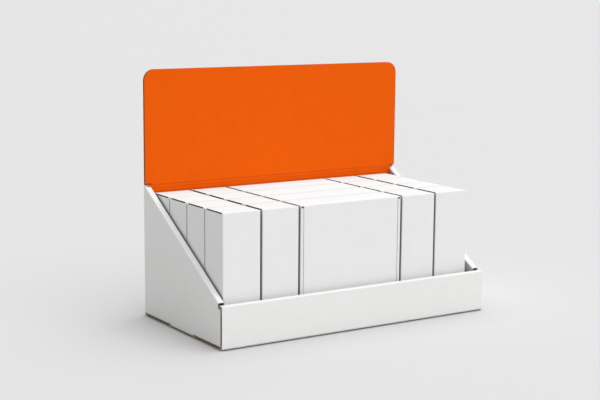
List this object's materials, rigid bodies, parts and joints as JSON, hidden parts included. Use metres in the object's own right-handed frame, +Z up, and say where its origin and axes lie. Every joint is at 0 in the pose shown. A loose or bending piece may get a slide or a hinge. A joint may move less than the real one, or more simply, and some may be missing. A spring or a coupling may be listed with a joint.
{
  "type": "counter display box",
  "caption": "Folded corrugated counter display tray with a low rolled front, sloping rolled sides and a header flap hinged at the back, loaded with closed cartons.",
  "frame": {"origin": "middle of the tray's underside", "axes": "+Z up, -Y towards the open low front, +X to the right of someone facing the front"},
  "size_m": [0.3, 0.154, 0.242],
  "materials": {
    "white_liner_board": "matt white liner on brown fluted board",
    "orange_printed_board": "satin orange print on brown fluted board",
    "white_carton_board": "matt coated white folding board"
  },
  "bodies": {
    "loaded_tray": {"display_tray": "white_liner_board", "narrow_carton_column_1_row_1": "white_carton_board", "narrow_carton_column_1_row_2": "white_carton_board", "narrow_carton_column_1_row_3": "white_carton_board", "narrow_carton_column_1_row_4": "white_carton_board", "narrow_carton_column_2_row_1": "white_carton_board", "narrow_carton_column_2_row_2": "white_carton_board", "narrow_carton_column_2_row_3": "white_carton_board", "narrow_carton_column_2_row_4": "white_carton_board", "wide_carton_column_3_row_1": "white_carton_board", "wide_carton_column_3_row_2": "white_carton_board", "wide_carton_column_3_row_3": "white_carton_board", "wide_carton_column_3_row_4": "white_carton_board", "narrow_carton_column_4_row_1": "white_carton_board", "narrow_carton_column_4_row_2": "white_carton_board", "narrow_carton_column_4_row_3": "white_carton_board", "narrow_carton_column_4_row_4": "white_carton_board", "narrow_carton_column_5_row_1": "white_carton_board", "narrow_carton_column_5_row_2": "white_carton_board", "narrow_carton_column_5_row_3": "white_carton_board", "narrow_carton_column_5_row_4": "white_carton_board"},
    "header": {"header_flap": "orange_printed_board"}
  },
  "joints": [
    {"name": "header_crease", "type": "hinge", "parent": "loaded_tray", "child": "header", "pos_m": [0, 0.074, 0.13], "axis": [1, 0, 0], "range_deg": [0, 93.7]}
  ]
}
